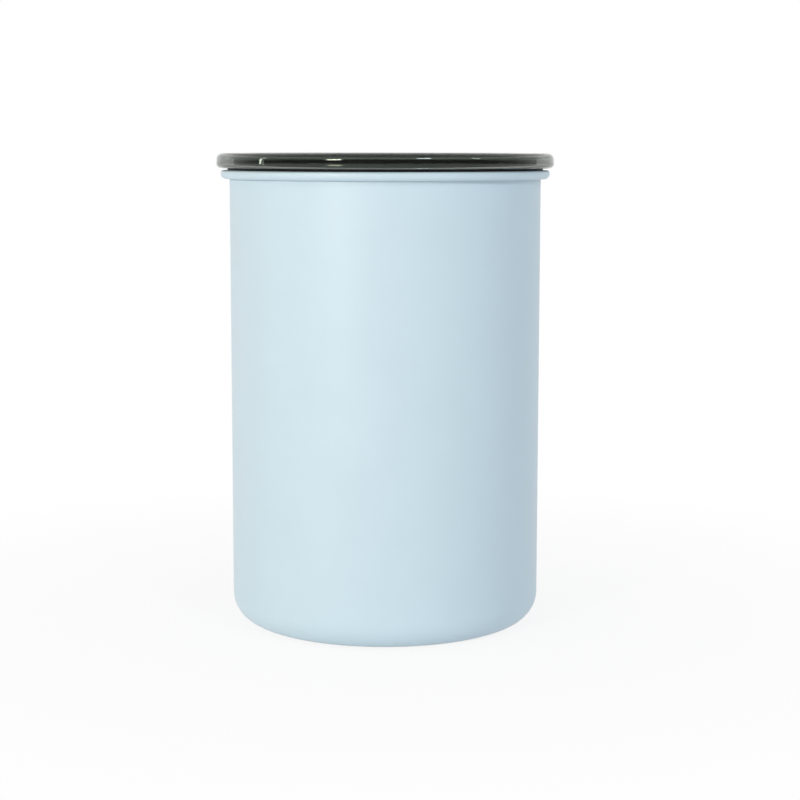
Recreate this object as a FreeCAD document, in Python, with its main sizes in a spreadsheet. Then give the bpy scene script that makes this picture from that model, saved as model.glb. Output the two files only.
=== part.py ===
"""Coffee canister with a vented inner lid.

A drawn steel canister with a rolled rim carries a smoked push-on outer lid. Inside it a cup-shaped
inner lid slides down onto the coffee. Its lift handle turns an axle whose eccentric cam holds a
sprung vent valve shut while the handle lies flat, and lets it rise when the handle stands up.

Millimetres, +Z up, origin at the centre of the base on the surface that the canister stands on.
"""

import FreeCAD
import Part
import math
import os
import Sketcher
from FreeCAD import Placement, Rotation, Vector

DRIVING_SIZES = {
    # canister
    "body_diameter": 120.0,
    "body_wall": 0.7,
    "rim_height": 175.8,
    "curl_width": 4.1,
    "curl_height": 3.3,
    "curl_bend_radius": 1.0,
    "curl_tail_radius": 2.05,
    "curl_lip_gap": 0.5,
    "base_corner_radius": 10.8,
    "foot_ring_width": 6.0,
    "base_recess": 2.0,
    "base_step_run": 6.0,
    "base_step_radius": 3.0,
    # outer lid
    "lid_diameter": 130.0,
    "lid_edge_height": 5.7,
    "lid_top_round": 2.5,
    "lid_bottom_round": 1.5,
    "lid_ring_width": 10.0,
    "lid_recess_depth": 1.2,
    "lid_recess_slope": 1.2,
    "lid_deck": 2.2,
    "lid_plate": 1.8,
    "lid_channel_width": 6.2,
    "plug_depth": 8.6,
    "plug_wall": 2.2,
    # outer lid gasket
    "seal_sleeve": 1.3,
    "seal_sleeve_height": 6.5,
    "seal_collar": 1.8,
    "seal_collar_gap": 0.7,
    "seal_flange_thickness": 0.75,
    "seal_flange_width": 4.2,
    "seal_lip_root": 2.6,
    "seal_lip_tip": 0.8,
    "seal_lip_drop": 2.2,
    "seal_lip_reach": 1.1,
    "seal_running_gap": 0.3,
    "seal_seat_gap": 0.1,
    # inner lid cup
    "cup_rest_height": 108.0,
    "cup_running_gap": 2.0,
    "cup_wall": 3.0,
    "cup_floor": 2.5,
    "cup_height": 27.0,
    "cup_edge_round": 1.2,
    "cup_floor_round": 3.0,
    "groove_depth": 1.4,
    "groove_height": 12.0,
    "groove_offset": 4.0,
    # wiper gasket
    "wiper_gap": 0.3,
    "wiper_lip_root": 2.0,
    "wiper_lip_tip": 1.0,
    "wiper_lip_rise": 1.6,
    "wiper_lip_spacing": 6.0,
    "wiper_lip_offset": 1.0,
    # vent valve
    "vent_diameter": 12.0,
    "seat_lip_width": 1.6,
    "seat_lip_height": 1.0,
    "screen_overlap": 1.5,
    "screen_thickness": 0.6,
    "screen_fit_gap": 0.1,
    "screen_hole_diameter": 1.4,
    "screen_inner_pitch": 2.2,
    "screen_outer_pitch": 4.4,
    "screen_inner_count": 6.0,
    "screen_outer_count": 12.0,
    "boss_diameter": 28.0,
    "boss_wall": 2.0,
    "boss_height": 4.0,
    "valve_lift": 2.4,
    "seal_disc_overlap": 1.4,
    "seal_disc_thickness": 2.0,
    "spigot_diameter": 4.0,
    "barb_diameter": 5.6,
    "barb_height": 1.4,
    "valve_flange_thickness": 1.5,
    "stem_diameter": 6.0,
    "head_diameter": 11.0,
    "head_thickness": 2.0,
    "head_round": 0.6,
    "cage_wall": 1.6,
    "cage_fit_gap": 0.05,
    "cage_top": 1.6,
    "cage_headroom": 0.6,
    "cage_edge_round": 1.2,
    "guide_clearance": 0.08,
    "cage_vent_diameter": 4.4,
    "cage_vent_count": 6.0,
    # valve spring
    "spring_length": 5.6,
    "spring_wire": 0.7,
    "spring_clearance": 0.6,
    "spring_turns": 4.0,
    # lift handle, axle and cam
    "cam_diameter": 10.0,
    "cam_width": 8.0,
    "cam_gap": 0.15,
    "axle_diameter": 4.0,
    "axle_end_inset": 0.8,
    "axle_chamfer": 0.4,
    "bearing_clearance": 0.05,
    "lug_thickness": 6.0,
    "lug_width": 11.0,
    "lug_side_gap": 0.5,
    "handle_reach": 43.0,
    "handle_width": 10.0,
    "handle_thickness": 7.0,
    "handle_round": 2.6,
    "hub_diameter": 11.0,
    "hub_overhang": 2.0,
}

# The largest fillet, as a share of the wall that two such fillets stand on.
ROUND_SHARE = 0.45
GEOMETRY_TOLERANCE = 1e-4
SPRING_SAMPLES_PER_TURN = 48
SPRING_ARCS_PER_TURN = 4

doc = FreeCAD.newDocument("CoffeeCanister")


class Size:
    """A dimension held as a number and as the sheet expression that drives it."""

    def __init__(self, number, text):
        self.number = number
        self.text = text

    @staticmethod
    def of(thing):
        return thing if isinstance(thing, Size) else Size(float(thing), repr(thing))

    def __add__(self, other):
        other = Size.of(other)
        return Size(self.number + other.number, f"({self.text} + {other.text})")

    def __sub__(self, other):
        other = Size.of(other)
        return Size(self.number - other.number, f"({self.text} - {other.text})")

    def __mul__(self, other):
        other = Size.of(other)
        return Size(self.number * other.number, f"({self.text} * {other.text})")

    def __truediv__(self, other):
        other = Size.of(other)
        return Size(self.number / other.number, f"({self.text} / {other.text})")

    def __neg__(self):
        return Size(-self.number, f"(-1 * {self.text})")

    def up_to(self, limit):
        """This size, or the limit where that is smaller."""
        return Size(min(self.number, limit.number), f"min({self.text}; {limit.text})")


ZERO = Size(0.0, "0")


def size_sheet():
    """The sheet of driving dimensions, one named cell each, and the sizes that read them."""
    sheet = doc.addObject("Spreadsheet::Sheet", "Dims")
    sizes = {}
    for row, (name, number) in enumerate(DRIVING_SIZES.items(), start=1):
        sheet.set(f"A{row}", name)
        sheet.set(f"B{row}", str(number))
        sheet.setAlias(f"B{row}", name)
        sizes[name] = Size(number, f"Dims.{name}")
    doc.recompute()
    return sizes


S = size_sheet()

# Radii and heights that several pieces share. Canister and outer lid heights are above the base,
# inner lid heights are above the underside of its cup.
BODY_RADIUS = S["body_diameter"] / 2
BORE_RADIUS = BODY_RADIUS - S["body_wall"]
CURL_RADIUS = BORE_RADIUS + S["curl_width"]
CURL_ROOT = S["rim_height"] - S["curl_height"] / 2
FOOT_OUTER = BODY_RADIUS - S["base_corner_radius"]
FOOT_INNER = FOOT_OUTER - S["foot_ring_width"]
STEP_INNER = FOOT_INNER - S["base_step_run"]

LID_SEAT = S["rim_height"] + S["seal_seat_gap"] + S["seal_flange_thickness"]
LID_RADIUS = S["lid_diameter"] / 2
SEAL_LIP_RADIUS = BORE_RADIUS - S["seal_running_gap"]
SLEEVE_RADIUS = SEAL_LIP_RADIUS - S["seal_lip_reach"]
PLUG_RADIUS = SLEEVE_RADIUS - S["seal_sleeve"]
DECK_TOP = S["lid_edge_height"] - S["lid_recess_depth"]
CHANNEL_TOP = S["lid_edge_height"] - S["lid_plate"]

CUP_RADIUS = BORE_RADIUS - S["cup_running_gap"]
GROOVE_RADIUS = CUP_RADIUS - S["groove_depth"]
GROOVE_TOP = S["groove_offset"] + S["groove_height"]
VENT_RADIUS = S["vent_diameter"] / 2
SEAT_RADIUS = VENT_RADIUS + S["seat_lip_width"]
SCREEN_SEAT_RADIUS = VENT_RADIUS + S["screen_overlap"]
BOSS_RADIUS = S["boss_diameter"] / 2

SEAL_BOTTOM = S["cup_floor"] + S["seat_lip_height"]
SEAL_TOP = SEAL_BOTTOM + S["seal_disc_thickness"]
SEAL_DISC_RADIUS = SEAT_RADIUS + S["seal_disc_overlap"]
FLANGE_TOP = SEAL_TOP + S["valve_flange_thickness"]
CAGE_CEILING = FLANGE_TOP + S["valve_lift"] + S["cage_headroom"]
CAGE_TOP = CAGE_CEILING + S["cage_top"]
STEM_RADIUS = S["stem_diameter"] / 2
HEAD_BOTTOM = CAGE_TOP + S["spring_length"]
HEAD_TOP = HEAD_BOTTOM + S["head_thickness"]

# The cam is a disc whose centre sits off the axle by half the valve lift both forwards and
# downwards while the handle lies flat, so a quarter turn raises its underside by the whole lift.
CAM_RADIUS = S["cam_diameter"] / 2
CAM_OFFSET = S["valve_lift"] / 2
AXLE_HEIGHT = HEAD_TOP + S["cam_gap"] + CAM_RADIUS + CAM_OFFSET
AXLE_RADIUS = S["axle_diameter"] / 2
HANDLE_INNER = S["handle_reach"] - S["handle_width"]
HUB_INNER = HANDLE_INNER - S["hub_overhang"]
LUG_OUTER = HUB_INNER - S["lug_side_gap"]
LUG_INNER = LUG_OUTER - S["lug_thickness"]


def drive(thing, path, size):
    """Ties one property of an object to the sheet."""
    thing.setExpression(path, size.text)


def new_body(name, height=ZERO):
    """A named piece whose own frame stands at a height above the base."""
    body = doc.addObject("PartDesign::Body", name)
    body.Label = name
    if height is not ZERO:
        body.Placement = Placement(Vector(0, 0, height.number), Rotation())
        drive(body, "Placement.Base.z", height)
    return body


def origin_plane(body, role):
    return next(f for f in body.Origin.OriginFeatures if f.Role == role)


def new_sketch(body, name, role, offset=ZERO):
    """A sketch on one of the piece's own origin planes, moved along that plane's normal."""
    sketch = body.newObject("Sketcher::SketchObject", name)
    sketch.AttachmentSupport = [(origin_plane(body, role), "")]
    sketch.MapMode = "FlatFace"
    if offset is not ZERO:
        sketch.AttachmentOffset = Placement(Vector(0, 0, offset.number), Rotation())
        drive(sketch, "AttachmentOffset.Base.z", offset)
    return sketch


def constrain(sketch, size, kind, *where):
    """A dimension of the sketch, tied to the sheet."""
    index = sketch.addConstraint(Sketcher.Constraint(kind, *where, size.number))
    drive(sketch, f"Constraints[{index}]", size)


def place(sketch, geometry, point, across, up):
    """Fixes a sketch point at its distances from the sketch origin."""
    for size, kind, axis in ((across, "DistanceX", -2), (up, "DistanceY", -1)):
        if size is ZERO:
            sketch.addConstraint(Sketcher.Constraint("PointOnObject", geometry, point, axis))
        else:
            constrain(sketch, size, kind, -1, 1, geometry, point)


def join(sketch, *ends):
    sketch.addConstraint(Sketcher.Constraint("Coincident", *ends))


def flat_point(across, up):
    return Vector(across.number, up.number, 0)


def outline(sketch, corners):
    """A closed outline of straight sides through corners given as (across, up)."""
    count = len(corners)
    for index, corner in enumerate(corners):
        following = corners[(index + 1) % count]
        sketch.addGeometry(Part.LineSegment(flat_point(*corner), flat_point(*following)))
    for index, corner in enumerate(corners):
        join(sketch, index, 2, (index + 1) % count, 1)
        place(sketch, index, 1, *corner)


def circle(sketch, across, up, radius):
    index = sketch.addGeometry(Part.Circle(flat_point(across, up), Vector(0, 0, 1), radius.number))
    place(sketch, index, 3, across, up)
    constrain(sketch, radius, "Radius", index)


def turned(body, name, sketch):
    """The sketch turned once round the piece's upright axis."""
    feature = body.newObject("PartDesign::Revolution", name)
    feature.Profile = sketch
    feature.ReferenceAxis = (sketch, ["V_Axis"])
    feature.Angle = 360
    doc.recompute()
    return feature


def grooved(body, name, sketch):
    """The sketch cut away once round the piece's upright axis."""
    feature = body.newObject("PartDesign::Groove", name)
    feature.Profile = sketch
    feature.ReferenceAxis = (sketch, ["V_Axis"])
    feature.Angle = 360
    doc.recompute()
    return feature


def turned_piece(name, corners, height=ZERO):
    """A piece that is one outline turned round the upright axis."""
    body = new_body(name, height)
    sketch = new_sketch(body, f"{name}_section", "XZ_Plane")
    outline(sketch, corners)
    return body, turned(body, f"{name}_turned", sketch)


def padded(body, name, sketch, length, both_ways=False):
    feature = body.newObject("PartDesign::Pad", name)
    feature.Profile = sketch
    feature.Midplane = both_ways
    drive(feature, "Length", length)
    doc.recompute()
    return feature


def bored(body, name, sketch):
    """The sketch cut right through the piece, both ways from its plane."""
    before = body.Shape.Volume
    feature = body.newObject("PartDesign::Pocket", name)
    feature.Profile = sketch
    feature.Type = "ThroughAll"
    feature.Midplane = True
    doc.recompute()
    if body.Shape.Volume > before - GEOMETRY_TOLERANCE:
        raise RuntimeError(f"{name} cuts nothing")
    return feature


def hole_ring(body, name, height, pitch_radius, radius, count):
    """Upright holes through a level plate, evenly round the piece's axis."""
    sketch = new_sketch(body, f"{name}_section", "XY_Plane", height)
    circle(sketch, pitch_radius, ZERO, radius)
    hole = bored(body, f"{name}_first", sketch)
    ring = body.newObject("PartDesign::PolarPattern", name)
    ring.Originals = [hole]
    ring.Axis = (sketch, ["N_Axis"])
    ring.Angle = 360
    drive(ring, "Occurrences", count)
    body.Tip = ring
    doc.recompute()


def mirrored(body, name, feature):
    """A feature repeated on the other side of the piece's YZ plane."""
    copy = body.newObject("PartDesign::Mirrored", name)
    copy.Originals = [feature]
    copy.MirrorPlane = (origin_plane(body, "YZ_Plane"), [""])
    body.Tip = copy
    doc.recompute()
    return copy


def round_edges(feature, *wanted):
    """Names of the feature's level circular edges at each wanted (radius, height)."""
    names = []
    for radius, height in wanted:
        found = [
            f"Edge{index}"
            for index, edge in enumerate(feature.Shape.Edges, start=1)
            if isinstance(edge.Curve, Part.Circle)
            and abs(edge.Curve.Radius - radius.number) < GEOMETRY_TOLERANCE
            and abs(edge.Curve.Center.z - height.number) < GEOMETRY_TOLERANCE
        ]
        if not found:
            raise RuntimeError(f"{feature.Name} has no edge at {radius.text}, {height.text}")
        names += found
    return names


def rounded(body, name, feature, radius, *wanted):
    """Fillets the circular edges at each wanted (radius, height)."""
    fillet = body.newObject("PartDesign::Fillet", name)
    fillet.Base = (feature, round_edges(feature, *wanted))
    drive(fillet, "Radius", radius)
    doc.recompute()
    return fillet


def canister_body():
    """Drawn shell: recessed base, round corner, straight wall and a rim curled outwards."""
    wall, recess = S["body_wall"], S["base_recess"]
    body, shell = turned_piece(
        "canister_body",
        [
            (ZERO, recess),
            (STEP_INNER, recess),
            (FOOT_INNER, ZERO),
            (BODY_RADIUS, ZERO),
            (BODY_RADIUS, CURL_ROOT),
            (BORE_RADIUS, CURL_ROOT),
            (BORE_RADIUS, wall),
            (FOOT_INNER, wall),
            (STEP_INNER, recess + wall),
            (ZERO, recess + wall),
        ],
    )
    corner = S["base_corner_radius"]
    shell = rounded(body, "outer_corner", shell, corner, (BODY_RADIUS, ZERO))
    shell = rounded(body, "inner_corner", shell, corner - wall, (BORE_RADIUS, wall))
    step_edges = [
        (STEP_INNER, recess),
        (FOOT_INNER, ZERO),
        (FOOT_INNER, wall),
        (STEP_INNER, recess + wall),
    ]
    rounded(body, "base_steps", shell, S["base_step_radius"], *step_edges)
    rim_curl(body)
    return body


def rim_curl(body):
    """The rolled rim: the wall sheet goes up, over, out and back under itself in a wider bend."""
    wall, top = S["body_wall"], S["rim_height"]
    bottom = top - S["curl_height"]
    lip = BODY_RADIUS + S["curl_lip_gap"]
    sketch = new_sketch(body, "rim_curl_section", "XZ_Plane")
    corners = [
        (BORE_RADIUS, CURL_ROOT),
        (BORE_RADIUS, top),
        (CURL_RADIUS, top),
        (CURL_RADIUS, bottom),
        (lip, bottom),
        (lip, bottom + wall),
        (CURL_RADIUS - wall, bottom + wall),
        (CURL_RADIUS - wall, top - wall),
        (BODY_RADIUS, top - wall),
        (BODY_RADIUS, CURL_ROOT),
    ]
    outline(sketch, corners)
    curl = turned(body, "rim_curl", sketch)
    bend = S["curl_bend_radius"].up_to(S["curl_height"] * ROUND_SHARE)
    # The tail's bend stands alone on the height that the upper bend leaves.
    tail = S["curl_tail_radius"].up_to((S["curl_height"] - bend) * ROUND_SHARE * 2)
    outer_bends = [(BORE_RADIUS, top), (CURL_RADIUS, top)]
    inner_bends = [(BODY_RADIUS, top - wall), (CURL_RADIUS - wall, top - wall)]
    curl = rounded(body, "outer_bends", curl, bend, *outer_bends)
    curl = rounded(body, "inner_bends", curl, bend - wall, *inner_bends)
    curl = rounded(body, "outer_tail", curl, tail, (CURL_RADIUS, bottom))
    rounded(body, "inner_tail", curl, tail - wall, (CURL_RADIUS - wall, bottom + wall))


def outer_lid():
    """Smoked lid: round-edged skirt, shallow stacking recess, and a plug that enters the mouth."""
    recess_radius = LID_RADIUS - S["lid_ring_width"]
    plug_inner = PLUG_RADIUS - S["plug_wall"]
    deck_bottom = DECK_TOP - S["lid_deck"]
    deck_middle = DECK_TOP - S["lid_deck"] / 2
    edge = S["lid_edge_height"]
    body, plate = turned_piece(
        "outer_lid",
        [
            (ZERO, deck_bottom),
            (recess_radius, deck_bottom),
            (recess_radius, ZERO),
            (LID_RADIUS, ZERO),
            (LID_RADIUS, edge),
            (recess_radius, edge),
            (recess_radius - S["lid_recess_slope"], DECK_TOP),
            (ZERO, DECK_TOP),
        ],
        LID_SEAT,
    )
    top_round = S["lid_top_round"].up_to(edge * ROUND_SHARE)
    bottom_round = S["lid_bottom_round"].up_to(edge * ROUND_SHARE)
    plate = rounded(body, "top_edge", plate, top_round, (LID_RADIUS, edge))
    rounded(body, "bottom_edge", plate, bottom_round, (LID_RADIUS, ZERO))
    channel_outer = PLUG_RADIUS + S["lid_channel_width"]
    channel_corners = [
        (PLUG_RADIUS, -CHANNEL_TOP),
        (channel_outer, -CHANNEL_TOP),
        (channel_outer, CHANNEL_TOP),
        (PLUG_RADIUS, CHANNEL_TOP),
    ]
    sketch = new_sketch(body, "channel_section", "XZ_Plane")
    outline(sketch, channel_corners)
    grooved(body, "channel", sketch)
    sketch = new_sketch(body, "plug_section", "XZ_Plane")
    plug_corners = [
        (ZERO, deck_bottom),
        (plug_inner, deck_bottom),
        (plug_inner, -S["plug_depth"]),
        (PLUG_RADIUS, -S["plug_depth"]),
        (PLUG_RADIUS, deck_middle),
        (ZERO, deck_middle),
    ]
    outline(sketch, plug_corners)
    turned(body, "plug", sketch)
    return body


def outer_lid_gasket():
    """Soft ring on the lid's plug: a collar in the lid's channel, a flap on the rim, a lip in the bore."""
    collar_radius = PLUG_RADIUS + S["seal_collar"]
    collar_top = CHANNEL_TOP - S["seal_collar_gap"]
    flange = S["seal_flange_thickness"]
    flange_radius = PLUG_RADIUS + S["seal_flange_width"]
    lip_top = -(flange + S["seal_lip_drop"])
    lip_bottom = lip_top - S["seal_lip_root"]
    taper = (S["seal_lip_root"] - S["seal_lip_tip"]) / 2
    bottom = -(flange + S["seal_sleeve_height"])
    body, _ = turned_piece(
        "outer_lid_gasket",
        [
            (PLUG_RADIUS, collar_top),
            (collar_radius, collar_top),
            (collar_radius, ZERO),
            (flange_radius, ZERO),
            (flange_radius, -flange),
            (SLEEVE_RADIUS, -flange),
            (SLEEVE_RADIUS, lip_top),
            (SEAL_LIP_RADIUS, lip_top - taper),
            (SEAL_LIP_RADIUS, lip_bottom + taper),
            (SLEEVE_RADIUS, lip_bottom),
            (SLEEVE_RADIUS, bottom),
            (PLUG_RADIUS, bottom),
        ],
        LID_SEAT,
    )
    return body


def plunger_cup():
    """Inner lid: a cup with a gasket groove, a screened vent with its boss, and two axle lugs."""
    floor, height = S["cup_floor"], S["cup_height"]
    inner_radius = CUP_RADIUS - S["cup_wall"]
    boss_top = floor + S["boss_height"]
    boss_inner = BOSS_RADIUS - S["boss_wall"]
    body, cup = turned_piece(
        "plunger_cup",
        [
            (VENT_RADIUS, S["screen_thickness"]),
            (SCREEN_SEAT_RADIUS, S["screen_thickness"]),
            (SCREEN_SEAT_RADIUS, ZERO),
            (CUP_RADIUS, ZERO),
            (CUP_RADIUS, S["groove_offset"]),
            (GROOVE_RADIUS, S["groove_offset"]),
            (GROOVE_RADIUS, GROOVE_TOP),
            (CUP_RADIUS, GROOVE_TOP),
            (CUP_RADIUS, height),
            (inner_radius, height),
            (inner_radius, floor),
            (BOSS_RADIUS, floor),
            (BOSS_RADIUS, boss_top),
            (boss_inner, boss_top),
            (boss_inner, floor),
            (SEAT_RADIUS, floor),
            (SEAT_RADIUS, SEAL_BOTTOM),
            (VENT_RADIUS, SEAL_BOTTOM),
        ],
        S["cup_rest_height"],
    )
    edges = [(CUP_RADIUS, ZERO), (CUP_RADIUS, height), (inner_radius, height)]
    edge_round = S["cup_edge_round"].up_to(S["cup_wall"] * ROUND_SHARE)
    cup = rounded(body, "cup_edges", cup, edge_round, *edges)
    rounded(body, "cup_floor_corner", cup, S["cup_floor_round"], (inner_radius, floor))
    lug_sketch = new_sketch(body, "lug_section", "YZ_Plane", LUG_INNER)
    lug_section(lug_sketch)
    lug = padded(body, "lug", lug_sketch, S["lug_thickness"])
    mirrored(body, "lugs", lug)
    return body


def lug_section(sketch):
    """A post rooted halfway into the cup's floor, with a round head bored for the axle."""
    half = S["lug_width"] / 2
    root = S["cup_floor"] / 2
    left, right = flat_point(-half, root), flat_point(half, root)
    head_left, head_right = flat_point(-half, AXLE_HEIGHT), flat_point(half, AXLE_HEIGHT)
    head = Part.Circle(flat_point(ZERO, AXLE_HEIGHT), Vector(0, 0, 1), half.number)
    sketch.addGeometry(Part.LineSegment(left, right))
    sketch.addGeometry(Part.LineSegment(right, head_right))
    sketch.addGeometry(Part.ArcOfCircle(head, 0, math.pi))
    sketch.addGeometry(Part.LineSegment(head_left, left))
    foot, front, arc, back = 0, 1, 2, 3
    join(sketch, foot, 2, front, 1)
    join(sketch, front, 2, arc, 1)
    join(sketch, arc, 2, back, 1)
    join(sketch, back, 2, foot, 1)
    sketch.addConstraint(Sketcher.Constraint("Vertical", front))
    sketch.addConstraint(Sketcher.Constraint("Vertical", back))
    sketch.addConstraint(Sketcher.Constraint("Horizontal", foot))
    place(sketch, arc, 3, ZERO, AXLE_HEIGHT)
    constrain(sketch, half, "Radius", arc)
    constrain(sketch, AXLE_HEIGHT, "DistanceY", -1, 1, arc, 1)
    constrain(sketch, AXLE_HEIGHT, "DistanceY", -1, 1, arc, 2)
    constrain(sketch, root, "DistanceY", -1, 1, foot, 1)
    circle(sketch, ZERO, AXLE_HEIGHT, AXLE_RADIUS + S["bearing_clearance"])


def wiper_gasket():
    """Soft band in the cup's groove, with two lips that rise outwards to the canister's bore."""
    tip_radius = BORE_RADIUS - S["wiper_gap"]
    corners = [(GROOVE_RADIUS, S["groove_offset"]), (CUP_RADIUS, S["groove_offset"])]
    for lip in (0, 1):
        root = S["groove_offset"] + S["wiper_lip_offset"] + S["wiper_lip_spacing"] * lip
        tip = root + S["wiper_lip_rise"]
        corners += [
            (CUP_RADIUS, root),
            (tip_radius, tip),
            (tip_radius, tip + S["wiper_lip_tip"]),
            (CUP_RADIUS, root + S["wiper_lip_root"]),
        ]
    corners += [(CUP_RADIUS, GROOVE_TOP), (GROOVE_RADIUS, GROOVE_TOP)]
    body, _ = turned_piece("wiper_gasket", corners, S["cup_rest_height"])
    return body


def valve_cage():
    """Cap snapped round the boss: it guides the valve's stem and lets the air out of its top."""
    guide_radius = STEM_RADIUS + S["guide_clearance"]
    inner_radius = BOSS_RADIUS + S["cage_fit_gap"]
    outer_radius = inner_radius + S["cage_wall"]
    floor = S["cup_floor"]
    body, cap = turned_piece(
        "valve_cage",
        [
            (guide_radius, CAGE_CEILING),
            (inner_radius, CAGE_CEILING),
            (inner_radius, floor),
            (outer_radius, floor),
            (outer_radius, CAGE_TOP),
            (guide_radius, CAGE_TOP),
        ],
        S["cup_rest_height"],
    )
    rounded(body, "cage_edge", cap, S["cage_edge_round"], (outer_radius, CAGE_TOP))
    pitch_radius = (guide_radius + inner_radius) / 2
    vent_radius = S["cage_vent_diameter"] / 2
    hole_ring(body, "cage_vents", CAGE_TOP, pitch_radius, vent_radius, S["cage_vent_count"])
    return body


def vent_screen():
    """Punched disc in a shallow seat under the vent, which keeps the grounds out of the valve."""
    radius = SCREEN_SEAT_RADIUS - S["screen_fit_gap"]
    hole_radius = S["screen_hole_diameter"] / 2
    top = S["screen_thickness"]
    body, _ = turned_piece(
        "vent_screen",
        [(hole_radius, ZERO), (radius, ZERO), (radius, top), (hole_radius, top)],
        S["cup_rest_height"],
    )
    for row in ("inner", "outer"):
        pitch_radius, count = S[f"screen_{row}_pitch"], S[f"screen_{row}_count"]
        hole_ring(body, f"{row}_holes", top, pitch_radius, hole_radius, count)
    return body


def valve_stem():
    """Barb and spigot that hold the seal disc, a flange behind it, and a guided stem with a head."""
    spigot, barb = S["spigot_diameter"] / 2, S["barb_diameter"] / 2
    flange_radius = SEAL_DISC_RADIUS
    head_radius = S["head_diameter"] / 2
    body, stem = turned_piece(
        "valve_stem",
        [
            (ZERO, SEAL_BOTTOM - S["barb_height"]),
            (spigot, SEAL_BOTTOM - S["barb_height"]),
            (barb, SEAL_BOTTOM),
            (spigot, SEAL_BOTTOM),
            (spigot, SEAL_TOP),
            (flange_radius, SEAL_TOP),
            (flange_radius, FLANGE_TOP),
            (STEM_RADIUS, FLANGE_TOP),
            (STEM_RADIUS, HEAD_BOTTOM),
            (head_radius, HEAD_BOTTOM),
            (head_radius, HEAD_TOP),
            (ZERO, HEAD_TOP),
        ],
        S["cup_rest_height"],
    )
    rounded(body, "head_edge", stem, S["head_round"], (head_radius, HEAD_TOP))
    return body


def valve_seal():
    """Soft disc that closes the vent's seat lip."""
    spigot = S["spigot_diameter"] / 2
    body, _ = turned_piece(
        "valve_seal",
        [
            (spigot, SEAL_BOTTOM),
            (SEAL_DISC_RADIUS, SEAL_BOTTOM),
            (SEAL_DISC_RADIUS, SEAL_TOP),
            (spigot, SEAL_TOP),
        ],
        S["cup_rest_height"],
    )
    return body


def lift_handle():
    """Half-ring bail with a hub at each end, lying flat and forwards at rest."""
    body = new_body("lift_handle", S["cup_rest_height"])
    sketch = new_sketch(body, "bail_section", "XY_Plane", AXLE_HEIGHT)
    for radius in (S["handle_reach"], HANDLE_INNER):
        ring = Part.Circle(Vector(), Vector(0, 0, 1), radius.number)
        sketch.addGeometry(Part.ArcOfCircle(ring, math.pi, 2 * math.pi))
    outer, inner, left, right = 0, 1, 2, 3
    for side, line, point in ((-1, left, 1), (1, right, 2)):
        ends = [Vector(side * r.number, 0, 0) for r in (S["handle_reach"], HANDLE_INNER)]
        sketch.addGeometry(Part.LineSegment(*ends))
        join(sketch, line, 1, outer, point)
        join(sketch, line, 2, inner, point)
    for arc, radius in ((outer, S["handle_reach"]), (inner, HANDLE_INNER)):
        join(sketch, arc, 3, -1, 1)
        constrain(sketch, radius, "Radius", arc)
        for point in (1, 2):
            sketch.addConstraint(Sketcher.Constraint("PointOnObject", arc, point, -1))
    bail = padded(body, "bail", sketch, S["handle_thickness"], both_ways=True)
    half = S["handle_thickness"] / 2
    edges = [(r, AXLE_HEIGHT + h) for r in (S["handle_reach"], HANDLE_INNER) for h in (half, -half)]
    bail_round = S["handle_round"].up_to(S["handle_thickness"] * ROUND_SHARE)
    rounded(body, "bail_edges", bail, bail_round, *edges)
    hub_sketch = new_sketch(body, "hub_section", "YZ_Plane", HUB_INNER)
    circle(hub_sketch, ZERO, AXLE_HEIGHT, S["hub_diameter"] / 2)
    hub = padded(body, "hub", hub_sketch, S["handle_reach"] - HUB_INNER)
    mirrored(body, "hubs", hub)
    bore_sketch = new_sketch(body, "hub_bore_section", "YZ_Plane")
    circle(bore_sketch, ZERO, AXLE_HEIGHT, AXLE_RADIUS)
    bored(body, "hub_bores", bore_sketch)
    return body


def handle_axle():
    """Steel rod pressed into both hubs, turning in the cup's lugs."""
    body = new_body("handle_axle", S["cup_rest_height"])
    sketch = new_sketch(body, "axle_section", "YZ_Plane")
    circle(sketch, ZERO, AXLE_HEIGHT, AXLE_RADIUS)
    length = (S["handle_reach"] - S["axle_end_inset"]) * 2
    rod = padded(body, "rod", sketch, length, both_ways=True)
    chamfer = body.newObject("PartDesign::Chamfer", "rod_ends")
    chamfer.Base = (rod, [f"Edge{i}" for i, e in enumerate(rod.Shape.Edges, 1) if e.isClosed()])
    drive(chamfer, "Size", S["axle_chamfer"])
    doc.recompute()
    return body


def handle_cam():
    """Eccentric disc pressed on the middle of the axle, over the valve's head."""
    body = new_body("handle_cam", S["cup_rest_height"])
    sketch = new_sketch(body, "cam_section", "YZ_Plane")
    circle(sketch, -CAM_OFFSET, AXLE_HEIGHT - CAM_OFFSET, CAM_RADIUS)
    circle(sketch, ZERO, AXLE_HEIGHT, AXLE_RADIUS)
    padded(body, "disc", sketch, S["cam_width"], both_ways=True)
    return body


def biarc(start, start_way, end, end_way):
    """Two arcs, joined smoothly, from one point and direction to another."""
    across = end - start
    ways = start_way + end_way
    square = 2 * start_way.dot(end_way) - 2
    slope = across.dot(ways)
    root = math.sqrt(slope * slope - square * across.dot(across))
    reach = (slope - root) / square
    first, second = start + start_way * reach, end - end_way * reach
    middle = (first + second) * 0.5
    return [arc_under(start, first, middle), arc_under(middle, second, end)]


def arc_under(start, peak, end):
    """The arc that leaves start towards peak and reaches end coming from peak."""
    chord_middle = (start + end) * 0.5
    rise = peak - chord_middle
    half_chord = (end - start).Length / 2
    radius = (peak - start).Length * half_chord / rise.Length
    sagitta = radius - math.sqrt(radius * radius - half_chord * half_chord)
    return Part.Arc(start, chord_middle + rise * (sagitta / rise.Length), end).toShape()


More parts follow.
